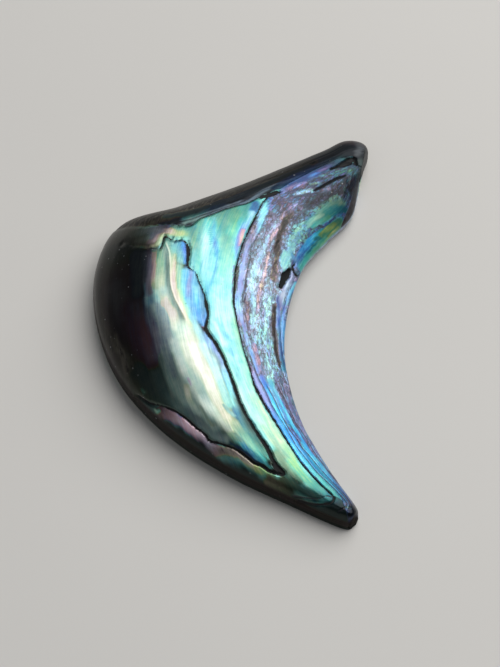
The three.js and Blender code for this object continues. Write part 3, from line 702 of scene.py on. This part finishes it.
HORN_WASHES = [  # deep blue under the rim of the upper horn, down to the dull speckle
    ([(5, 15.95), (6.6, 16.9), (8.6, 18.3), (10.6, 19.6), (12.4, 20.9), (14, 21.7), (15, 21.6)], [0.3,
     0.65, 0.75, 0.7, 0.6, 0.45, 0.3], [1.5, 1.3, 1.2, 1.3, 1.6, 2.6, 2], [0.06, 0.08, 0.09, 0.07, 0.03,
     0.02, 0.01], 0),
    ([(5.6, 15.9), (6.8, 16.7), (8.4, 17.8), (9.8, 18.7), (11.4, 19.9), (12.8, 20.8)], [0.2, 0.4, 0.45,
     0.42, 0.3, 0.24], [1.4, 1.2, 1.1, 1.2, 0.9, 1.6], [0.16, 0.18, 0.18, 0.16, 0.08, 0.05], 0),
    ([(9.2, 18.2), (9.9, 18.65), (10.5, 19.05)], 0.17, [1.2, 1.5, 1.2], [0.3, 0.6, 0.3], 0),
    ([(10.4, 19.2), (11.2, 19.7), (11.9, 20.2)], 0.14, [0.6, 0.2, 0.8], [0.25, 0.26, 0.12], 0.05),
    ([(12.4, 20.9), (13.3, 21.35), (14.2, 21.6)], 0.2, [2.2, 2.8, 3.1], [0.08, 0.09, 0.03], 0),
    ([(5.9, 15.6), (6.8, 16.2), (7.6, 16.8)], 0.28, [0.5, 0, 0.2], [0.26, 0.32, 0.24], [0.1, 0.15, 0.15],
     0.2),
    ([(7.2, 16.3), (8, 16.9), (8.8, 17.2)], 0.14, [1, 0.6, 0.4], [0.5, 0.6, 0.3], 0.15, 0.2),
    ([(13.5, 20.5), (14.1, 20.8), (14.7, 20.9)], 0.28, 1.6, 0.03, 0.1),
]

lay(MIDDLE_WASHES)
reset(on_upper, UPPER_GROUND)
lay(UPPER_WASHES, on_upper)
reset(on_inner, INNER_GROUND)
lay(INNER_WASHES, on_inner)

# The growth ridge, as the distance to its line, positive on its right.
ridge_gap, ridge_share = measured(GROWTH_RIDGE, plan, 2.0, per_span=16)
ridge_x = np.interp(-plan[:, 1], [-y for x, y in GROWTH_RIDGE], [x for x, y in GROWTH_RIDGE])
ridge_gap = np.where(on_upper > 0.5, np.minimum(ridge_gap, FAR) * np.sign(plan[:, 0] - ridge_x), FAR)
ridge_power = soft_step(ridge_share, 0.0, 0.08) * soft_step(ridge_share, 1.0, 0.8)
# A pale band on the ridge's right: partly the ridge's own cream, partly painted highlight where it faces
# the light.
BESIDE_RIDGE = 0.24
wash([(x + BESIDE_RIDGE, y) for x, y in GROWTH_RIDGE], 0.2, [3.4, 4.6, 6.6, 6.6, 5.2],
     [0.42, 0.5, 0.55, 0.62, 0.8], [0.3, 0.5, 0.6, 0.65, 0.7], where=on_upper, soft=1.0, at=plan)

# The rim: dull layers seen on edge round the outside, with a slate band inside them. Where the outer wall
# faces down and out it is painted dark: partly the shell's dark edge layer, partly painted shade.
rim_cover = soft_step(rim_side, -0.05, 0.12)
wall_shade_cover = soft_step(-facing[:, 2], -0.42, -0.12) * soft_step(-across, -0.3, 0.3)
rind = np.where(is_back, np.maximum(rim_cover, wall_shade_cover), 0)
heel_side = soft_step(-plan[:, 1], -15.0, -8.0)
reset(rind, RIND_AND_WALL_SHADE_GROUND)
reset(wall_shade_cover * heel_side, HEEL_WALL_SHADE_GROUND)
RIM_WASHES = [
    ([(-13.6, 11.4), (-10, 11.4), (-6, 12.8), (-2, 14.8), (2, 16.9), (6, 18.8), (9, 20.4)], 1.2, 6, [0.08,
     0.12, 0.14, 0.11, 0.09, 0.05, 0.03], 0.4, 0.8),
    ([(-8, 11.2), (-5, 11.9), (-2.6, 13), (0, 14.4), (3, 16.2), (6, 18.2), (9, 19.9)], 0.42, [2.6, 2.4,
     1.8, 1.6, 2.2, 2, 2], [0.05, 0.04, 0.04, 0.045, 0.03, 0.02, 0.018], 0.5),
    ([(-5.8, 10.6), (-4.4, 11.2), (-2.6, 12.4), (-1.2, 13)], 0.3, [3, 3, 1.6, 1.4], [0.16, 0.14, 0.06,
     0.05], 0.2),
    ([(-5.8, 9.9), (-4.4, 10.7), (-2.6, 11.8), (0, 13.1), (2, 14.2), (4, 15.7), (6, 16.9), (7.6, 17.8)],
     0.24, [3, 2.6, 1.8, 1.6, 1.7, 1.5, 1.4, 1.4], [0.3, 0.18, 0.14, 0.16, 0.24, 0.24, 0.18, 0.08], 0.5),
    ([(12.6, 24.6), (14, 24.9), (15.2, 24.6)], 0.7, 7, [0.03, 0.05, 0.05], 0.2, 0.4),
    # painted highlight: a lighter slate patch on the blunt end's top corner, where it catches the light
    ([(15.2, 24.6), (15.5, 23.6), (15.3, 22.6)], 0.42, [8, 1, 1.2], [0.1, 0.13, 0.08], 0.75),
    ([(15.7, 21.4), (15.2, 18.8), (14.3, 16), (13.4, 13.8)], 0.45, [2.6, 1, 8, 8], [0.06, 0.07, 0.07,
     0.06], 0.6, 0.2),
]
lay(RIM_WASHES, rim_cover * (1 - 0.6 * wall_shade_cover))
lay(HORN_WASHES)
# The middle field and upper layer are a little duller than drawn, the inner side a little brighter.
brightness = OUTER_BRIGHTNESS + (INNER_BRIGHTNESS - OUTER_BRIGHTNESS) * on_inner
lustre[:, :4] *= brightness[:, None]

# ---- Relief, in millimetres ----

LEDGE_RISE = 0.10
LEDGE_DROP = 0.06
INNER_DROP = 0.05
INNER_RISE = 0.03
RIM_DROP = 0.08
RIDGE_RISE = 0.06
SPECKLE_RELIEF = 0.045
SWELL = 0.03
RIND_RELIEF = 0.02
UNDER_RELIEF = 0.03
FULLER_WALL = 0.14
FULLER_HORN = 0.20

ledge = np.where(upper_layer > 0, LEDGE_RISE * np.exp(-upper_layer / 1.4),
                 -LEDGE_DROP * np.exp(upper_layer / 1.1))
near_hook = measured(HOOK_CRACK + LIP_CRACK[::-1], plan, 4.0)[0]
near_crack = np.minimum(near_hook, measured(THIN_CRACK, plan, 4.0)[0])
ledge = ledge * soft_step(-near_crack, -3.0, -1.2) * soft_step(plan[:, 0], -14.5, -10.5)
inner_step = np.where(inner_side > 0, -INNER_DROP * np.exp(-inner_side / 0.9),
                      INNER_RISE * np.exp(inner_side / 0.7))
rim_step = np.where(rim_side > 0, -RIM_DROP * np.exp(-rim_side / 1.2), 0)
ridge = RIDGE_RISE * np.exp(-((ridge_gap / 0.35) ** 2)) * ridge_power
speckle = soft_step(lustre[:, 4], 0.05, 0.30) * on_inner
rough = SPECKLE_RELIEF * speckle * unevenness(place * [1, 0.45, 1], 0.5, 21, 3)
swell = SWELL * unevenness(place * [1, 0.35, 1], 2.2, 31, 2)
layer_bed = np.stack([across * 9, across * 0, place[:, 2] * 0.8], 1)
rind_lines = RIND_RELIEF * rind * unevenness(layer_bed, 0.35, 41, 2)
over_relief = ledge + inner_step + rim_step + ridge + rough + swell + rind_lines - groove
under_relief = UNDER_RELIEF * unevenness(place * [1, 0.4, 1], 1.6, 51, 3) * soft_step(place[:, 2], 0.1, 0.8)
relief = np.where(is_back, over_relief, under_relief)

# The outer wall stands fuller than the solid, but not where it turns into the inner edge.
fuller = (FULLER_WALL + FULLER_HORN * soft_step(plan[:, 1], 17.0, 25.0)) * soft_step(-across, 0.2, 0.95)
fuller *= 1 - soft_step(plan[:, 0], 14.4, 15.4) * (1 - soft_step(plan[:, 1], 20.8, 25.2))
relief += fuller * soft_step(place[:, 2], 0.0, 0.8) * soft_step(plan[:, 1], -24.5, -18.0)
carved = place + facing * relief[:, None]
carved[:, 2] = np.maximum(carved[:, 2], 0)

# Underneath, soft bands that follow the edges. Where the underside curls round into the outer wall it is
# painted dark: partly the dark edge layer, partly painted shade.
UNDER_MILK = 0.45
wavering = 0.6 * unevenness(place, 5.0, 61)
under_hue = 3.4 + 1.8 * np.sin(across * 5.0 + wavering) + 0.8 * unevenness(place, 3.0, 62)
under_glow = 0.62 + 0.12 * unevenness(place, 4.0, 63)
under_turn = under_hue * 2 * np.pi / HUES_ROUND
underside = np.stack([np.cos(under_turn) * under_glow, np.sin(under_turn) * under_glow, under_glow,
                      UNDER_MILK * under_glow, 0 * under_glow], 1)
# painted shade on the underside's outer curl, over the dark edge layer
under_curl_shade = soft_step(facing[:, 2], -0.85, -0.35) * soft_step(-across, -0.2, 0.4)
underside += (tone(*UNDER_WALL_SHADE_GROUND) - underside) * under_curl_shade[:, None]
lustre[:] = np.where(is_back[:, None], lustre, underside)
rind = np.where(is_back, rind, under_curl_shade)
heel_wall = np.where(is_back, wall_shade_cover, under_curl_shade) * heel_side
glow = lustre[:, 2]
hue_way = np.stack([lustre[:, 0] / glow, lustre[:, 1] / glow, 0 * glow], 1)
shine = np.stack([glow, lustre[:, 3] / glow, lustre[:, 4]], 1)
ridge_way = np.stack([ridge_gap, np.where(is_back, ridge_power, 0), heel_wall], 1)


# ---- The shell as a mesh ----

def shell_mesh():
    foot, end = (np.mean(carved.reshape(RIBS, RING, 3)[k], axis=0) for k in (0, -1))
    verts = np.vstack([carved, foot, end]) * MM
    row = np.arange(RIBS - 1)[:, None] * RING
    here = np.arange(RING)[None]
    after = (here + 1) % RING
    quads = np.stack([row + here, row + after, row + RING + after, row + RING + here], -1).reshape(-1, 4)
    last = (RIBS - 1) * RING
    fans = [(RIBS * RING, (k + 1) % RING, k) for k in range(RING)]
    fans += [(last + k, last + (k + 1) % RING, RIBS * RING + 1) for k in range(RING)]
    mesh = bpy.data.meshes.new("abalone_crescent")
    mesh.from_pydata(verts.tolist(), [], quads.tolist() + fans)
    mesh.polygons.foreach_set("use_smooth", [True] * len(mesh.polygons))
    return mesh


def give(mesh, name, values):
    """A named value, or a set of three, at every point of the mesh; the horns' tips copy a neighbour."""
    values = np.concatenate([values, values[:1], values[-1:]])
    kind, field = ("FLOAT", "value") if values.ndim == 1 else ("FLOAT_VECTOR", "vector")
    layer = mesh.attributes.new(name, kind, "POINT")
    layer.data.foreach_set(field, np.ascontiguousarray(values, np.float32).ravel())


def unrolled_map(mesh):
    """The whole skin laid out flat: ribs across the sheet, each ring up it."""
    layer = mesh.uv_layers.new(name="OFBake")
    loops = np.empty(len(mesh.loops), int)
    mesh.loops.foreach_get("vertex_index", loops)
    rib, ring = np.divmod(loops, RING)
    u = (rib + 1) / (RIBS + 1)
    v = ring / RING
    starts = np.empty(len(mesh.polygons), int)
    counts = np.empty(len(mesh.polygons), int)
    mesh.polygons.foreach_get("loop_start", starts)
    mesh.polygons.foreach_get("loop_total", counts)
    for start, count in zip(starts, counts):
        face = slice(start, start + count)
        tip = loops[face] >= RIBS * RING
        sheet = v[face]
        if (sheet[~tip].max() - sheet[~tip].min()) > 0.5:
            sheet[sheet < 0.5] += 1
        if tip.any():
            u[face][tip] = 0.0 if loops[face][tip][0] == RIBS * RING else 1.0
            sheet[tip] = sheet[~tip].mean()
        v[face] = sheet
    layer.data.foreach_set("uv", np.stack([u, v], 1).astype(np.float32).ravel())


mesh = shell_mesh()
give(mesh, "hue_way", hue_way)
give(mesh, "shine", shine)
give(mesh, "ridge_way", ridge_way)
give(mesh, "crack_gap", crack_gap)
give(mesh, "line_gap", line_gap)
give(mesh, "speckle", speckle)
give(mesh, "rind", rind)
give(mesh, "grain", grain)
unrolled_map(mesh)


# ---- Finishes ----

class Tap:
    """One value on its way through a finish; sums on taps add the nodes that work them out."""

    def __init__(self, finish, socket):
        self.finish = finish
        self.socket = socket

    def math(self, operation, *others):
        values = dict(enumerate((self, *others)))
        return self.finish.node("ShaderNodeMath", {"operation": operation}, values)

    def __add__(self, other):
        return self.math("ADD", other)

    def __mul__(self, other):
        return self.math("MULTIPLY", other)

    def __sub__(self, other):
        return self.math("SUBTRACT", other)

    def __rsub__(self, other):
        return self.finish.node("ShaderNodeMath", {"operation": "SUBTRACT"}, {0: other, 1: self})

    __radd__ = __add__
    __rmul__ = __mul__

    def step(self, low, high):
        """0 at low and 1 at high, smooth between them."""
        return self.finish.node("ShaderNodeMapRange", {"interpolation_type": "SMOOTHSTEP"},
                                {"Value": self, "From Min": low, "From Max": high})


class Finish:
    """A material and the nodes that make it."""

    def __init__(self, name):
        self.material = bpy.data.materials.new(name)
        self.material.use_nodes = True
        self.tree = self.material.node_tree
        self.tree.nodes.clear()

    def node(self, kind, settings=None, sockets=None, output=0):
        made = self.tree.nodes.new(kind)
        for key, value in (settings or {}).items():
            if key == "stops":
                self.set_stops(made.color_ramp, value)
            else:
                setattr(made, key, value)
        for key, value in (sockets or {}).items():
            socket = made.inputs[key]
            if isinstance(value, Tap):
                self.tree.links.new(value.socket, socket)
            else:
                socket.default_value = value
        return Tap(self, made.outputs[output]) if made.outputs else None

    @staticmethod
    def set_stops(ramp, stops):
        while len(ramp.elements) < len(stops):
            ramp.elements.new(0.5)
        for element, (position, colour) in zip(ramp.elements, stops):
            element.position = position
            element.color = (*colour, 1.0)

    def held(self, name, output="Fac"):
        """A value that the mesh holds under that name."""
        return self.node("ShaderNodeAttribute", {"attribute_name": name}, output=output)

    def parts(self, vector, count=3):
        split = self.node("ShaderNodeSeparateXYZ", None, {0: vector}).socket.node
        return [Tap(self, socket) for socket in split.outputs[:count]]

    def stretched(self, vector, by):
        return self.node("ShaderNodeVectorMath", {"operation": "MULTIPLY"}, {0: vector, 1: by})

    def add(self, first, second):
        return self.node("ShaderNodeVectorMath", {"operation": "ADD"}, {0: first, 1: second})

    def shade(self, colour, amount):
        return self.node("ShaderNodeVectorMath", {"operation": "SCALE"}, {0: colour, "Scale": amount})

    def blend(self, share, first, second):
        return self.node("ShaderNodeMix", {"data_type": "RGBA"}, {0: share, 6: first, 7: second}, output=2)

    def noise(self, vector, scale, detail=3.0, roughness=0.55, output=0):
        sockets = {"Vector": vector, "Scale": scale, "Detail": detail, "Roughness": roughness}
        return self.node("ShaderNodeTexNoise", None, sockets, output)

    def cells(self, vector, scale=1.0, output="Color", feature="F1"):
        sockets = {"Vector": vector, "Scale": scale}
        return self.node("ShaderNodeTexVoronoi", {"feature": feature}, sockets, output)


NACRE_ORDER = [  # one colour for each whole hue
    (0.30, 0.20, 0.60), (0.06, 0.20, 0.72), (0.05, 0.46, 0.86), (0.10, 0.74, 0.72), (0.16, 0.68, 0.42),
    (0.46, 0.72, 0.20), (0.86, 0.68, 0.36), (0.78, 0.34, 0.46), (0.30, 0.20, 0.60),
]
FIRST_STOP = 0.02
STOP_SPACING = 0.12
MILK_WHITE = (0.86, 0.92, 0.86, 1)
EARTH_BROWN = (0.14, 0.11, 0.10, 1)
EARTH_GREY = (0.12, 0.12, 0.125, 1)
CRACK_BLACK = (0.010, 0.011, 0.012, 1)
LINE_DARK = (0.030, 0.026, 0.034, 1)
# Painted shadow on the growth ridge's left, also the colour of small dings; painted highlight on the
# ridge's right.
PAINTED_SHADOW_AND_DING_GREEN = (0.07, 0.12, 0.10, 1)
PAINTED_RIDGE_HIGHLIGHT = (0.82, 0.80, 0.66, 1)
DUST_GREY = (0.22, 0.23, 0.24, 1)

# How finely each mark repeats along and across the grain.
LONG_STREAK = (0.10, 1.5, 1.0)
FINE_STREAK = (0.45, 6.0, 1.0)
HAIR = (1.3, 24.0, 1.0)
PATCH = (0.9, 2.6, 1.0)
FLECK = (1.9, 4.8, 1.0)
CRUMBLE = (1.1, 3.6, 1.0)

# How far patches and flecks are pushed out of place, which frays their edges.
JOG = (0.9, 1.2, 0.0)

# How many of each mark there are to a metre of shell.
CLOUDS = 900.0
DUST = 1500.0
JITTER = 2600.0
GRIT = 4200.0
CRUMBS = 5200.0


def with_ridge(finish, colour, gap, power):
    """The growth ridge: a thin green painted shadow, then a pale painted highlight on its right."""
    shadow = (gap + 0.06).math("ABSOLUTE").step(0.13, 0.02) * power
    light = (gap - 0.12).math("ABSOLUTE").step(0.14, 0.02) * power
    colour = finish.blend(light * 0.35, colour, PAINTED_RIDGE_HIGHLIGHT)
    return finish.blend(shadow * 0.5, colour, PAINTED_SHADOW_AND_DING_GREEN)


def with_dust(finish, colour, glow, spot):
    """Fine pale dust on the dark parts, and small dark dings on the bright ones."""
    gap = finish.cells(spot, DUST, "Distance")
    size, paleness = finish.parts(finish.cells(spot, DUST), 2)
    dust = (gap - (size - 0.42) * 0.30).step(0.04, -0.02) * paleness
    ding = (gap - (size - 0.86) * 0.9).step(0.04, -0.02)
    dark = glow.step(0.35, 0.04)
    colour = finish.blend(dust * dark, colour, DUST_GREY)
    return finish.blend(ding * (1 - dark) * 0.55, colour, PAINTED_SHADOW_AND_DING_GREEN)


def nacre_finish():
    finish = Finish("polished nacre")
    grain = finish.held("grain", "Vector")
    east, north = finish.parts(finish.held("hue_way", "Vector"), 2)
    glow, milk, earth = finish.parts(finish.held("shine", "Vector"))
    ridge_gap, ridge_power, heel_wall = finish.parts(finish.held("ridge_way", "Vector"))
    speckle = finish.held("speckle")
    rind = finish.held("rind")
    spot = finish.node("ShaderNodeTexCoord", output="Object")
    lit = glow.math("MINIMUM", 1.0)

    long_streaks = finish.noise(finish.stretched(grain, LONG_STREAK), 1.0, 5.0, 0.6)
    fine_streaks = finish.noise(finish.stretched(grain, FINE_STREAK), 1.0, 4.0, 0.6)
    hairs = finish.noise(finish.stretched(grain, HAIR), 1.0, 3.0, 0.6)
    crumbly = finish.noise(finish.stretched(grain, CRUMBLE), 1.0, 6.0, 0.68)
    clouds = finish.noise(spot, CLOUDS, 4.0, 0.6)
    grit = finish.noise(spot, GRIT, 3.0, 0.7)
    crumbs = finish.noise(spot, CRUMBS, 3.0, 0.6)
    jog = finish.stretched(finish.noise(spot, JITTER, 2.0, 0.6, "Color"), JOG)
    patch_bed = finish.add(finish.stretched(grain, PATCH), jog)
    fleck_bed = finish.add(finish.stretched(grain, FLECK), jog)
    patch_hue, patch_glow = finish.parts(finish.cells(patch_bed), 2)
    fleck_hue, fleck_glow, fleck_warmth = finish.parts(finish.cells(fleck_bed))
    patch_edge = finish.cells(patch_bed, 1.0, "Distance", "DISTANCE_TO_EDGE")

    # hue, then whiteness
    wander = (long_streaks - 0.5) * 2.2 + (fine_streaks - 0.5) * 1.5 + (clouds - 0.5) * 0.8
    hue = north.math("ARCTAN2", east) * (HUES_ROUND / (2 * math.pi))
    hue = hue + wander * (0.55 + 0.45 * (1 - speckle))
    hue = hue + (patch_hue * 1.7 + fleck_hue * 1.4 - 1.65) * speckle
    hue = hue.math("FLOORED_MODULO", float(HUES_ROUND))
    stops = [(FIRST_STOP + k * STOP_SPACING, tint) for k, tint in enumerate(NACRE_ORDER)]
    colour = finish.node("ShaderNodeValToRGB", {"stops": stops}, {0: hue * STOP_SPACING + FIRST_STOP})
    milk = milk + (fine_streaks - 0.5) * 0.5 + (clouds - 0.5) * 0.4
    colour = finish.blend(milk.math("MAXIMUM", 0.0).math("MINIMUM", 1.0), colour, MILK_WHITE)

    # dull shell between the flecks of nacre, dimmed with the glow, then how bright it all is; the glow
    # carries painted light and shade as well as the nacre's own tone
    dull = (crumbly * 2.2 - 1.6 + earth * 1.0 + (fleck_warmth - 0.5) * 0.25 * speckle).step(-0.22, 0.42)
    threads = (patch_edge + (crumbly - 0.5) * 1.1 + (0.14 - earth * 0.32)).step(0.18, 0.02) * speckle
    earthy = finish.blend(clouds.step(0.42, 0.58), EARTH_BROWN, EARTH_GREY)
    earthy = finish.shade(earthy, (0.3 + grit * 1.4) * (0.5 + 0.5 * lit))
    colour = finish.blend(dull.math("MAXIMUM", threads * 0.8), colour, earthy)
    streaked = long_streaks * 0.7 + fine_streaks * 0.5 + clouds * 0.4 + hairs * 0.25 + grit * 0.15
    shine = glow * streaked * (1 + speckle * (patch_glow * 0.7 + fleck_glow * 0.6 - 0.55))
    colour = finish.shade(colour, shine)

    colour = with_ridge(finish, colour, ridge_gap + (clouds - 0.5) * 0.10, ridge_power)
    colour = with_dust(finish, colour, glow, spot)
    crack = (finish.held("crack_gap") + (crumbs - 0.5) * 0.20).step(0.04, -0.03)
    line = (finish.held("line_gap") + (crumbs - 0.5) * 0.10).step(0.05, -0.04)
    colour = finish.blend(line * 0.8, colour, LINE_DARK)
    colour = finish.blend(crack, colour, CRACK_BLACK)

    whole = 1 - crack
    roughness = 0.26 + 0.12 * fine_streaks + 0.14 * speckle + 0.16 * rind + 0.14 * heel_wall + 0.4 * crack
    coat = whole * (1 - rind * 0.6) * (1 - heel_wall * 0.85) * (0.20 + 0.22 * lit)
    height = long_streaks * 0.25 + fine_streaks * 0.35 + clouds * 0.1
    height = height + crumbs * (0.25 * speckle + 0.6 * crack) - 1.2 * line
    bump = finish.node("ShaderNodeBump", None, {"Strength": 0.35, "Distance": 0.00006, "Height": height})
    shader = finish.node("ShaderNodeBsdfPrincipled", None, {
        "Base Color": colour, "Roughness": roughness, "Metallic": whole * (0.75 - 0.5 * lit),
        "Normal": bump, "Coat Weight": coat, "Coat Roughness": 0.10, "IOR": 1.5,
        "Specular IOR Level": 0.30,
    })
    finish.node("ShaderNodeOutputMaterial", None, {"Surface": shader})
    return finish.material


FLOOR_DEEP = (0.60, 0.585, 0.56, 1)
FLOOR_PALE = (0.66, 0.645, 0.62, 1)


def floor_finish():
    finish = Finish("pale studio floor")
    mottle = finish.noise(finish.node("ShaderNodeTexCoord", output="Object"), 6.0, 4.0)
    colour = finish.blend(mottle, FLOOR_DEEP, FLOOR_PALE)
    shader = finish.node("ShaderNodeBsdfPrincipled", None, {"Base Color": colour, "Roughness": 0.7})
    finish.node("ShaderNodeOutputMaterial", None, {"Surface": shader})
    return finish.material


crescent = bpy.data.objects.new("abalone_crescent", mesh)
bpy.context.scene.collection.objects.link(crescent)
mesh.materials.append(nacre_finish())
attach(crescent, "root")
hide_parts("abalone_shell")


# ---- Floor, light and camera ----

def studio_floor(half=1.5):
    sheet = bpy.data.meshes.new("studio_floor")
    corners = [(-half, -half, 0), (half, -half, 0), (half, half, 0), (-half, half, 0)]
    sheet.from_pydata(corners, [], [(0, 1, 2, 3)])
    sheet.materials.append(floor_finish())
    floor = bpy.data.objects.new("studio_floor", sheet)
    bpy.context.scene.collection.objects.link(floor)


def soft_light(name, place, size, watts, tint=(1, 1, 1)):
    lamp = bpy.data.lights.new(name, "AREA")
    lamp.shape, lamp.size, lamp.energy, lamp.color = "DISK", size, watts, tint
    light = bpy.data.objects.new(name, lamp)
    light.location = place
    light.rotation_euler = (-Vector(place)).to_track_quat("-Z", "Y").to_euler()
    bpy.context.scene.collection.objects.link(light)


def studio_camera(aim, elevation, distance, lens):
    data = bpy.data.cameras.new("studio_camera")
    data.lens, data.sensor_width = lens, 36.0
    data.clip_start, data.clip_end = 0.01, 10.0
    camera = bpy.data.objects.new("studio_camera", data)
    slope = math.radians(elevation)
    back = Vector((0, -math.cos(slope), math.sin(slope)))
    camera.location = Vector(aim) + back * distance
    camera.rotation_euler = (-back).to_track_quat("-Z", "Y").to_euler()
    bpy.context.scene.collection.objects.link(camera)
    bpy.context.scene.camera = camera


studio_floor()
soft_light("window", place=(0.22, 0.20, 0.42), size=0.70, watts=3.4, tint=(1.0, 0.99, 0.97))
soft_light("fill", place=(-0.25, -0.35, 0.45), size=0.5, watts=0.25, tint=(0.95, 0.98, 1.0))
studio_camera(aim=(0.00195, -0.00245, 0.003), elevation=60, distance=0.183, lens=85)

world = bpy.data.worlds.new("studio")
world.use_nodes = True
world.node_tree.nodes["Background"].inputs["Color"].default_value = (0.80, 0.84, 0.90, 1)
world.node_tree.nodes["Background"].inputs["Strength"].default_value = 0.15
bpy.context.scene.world = world
bpy.context.scene.view_settings.view_transform = "Standard"
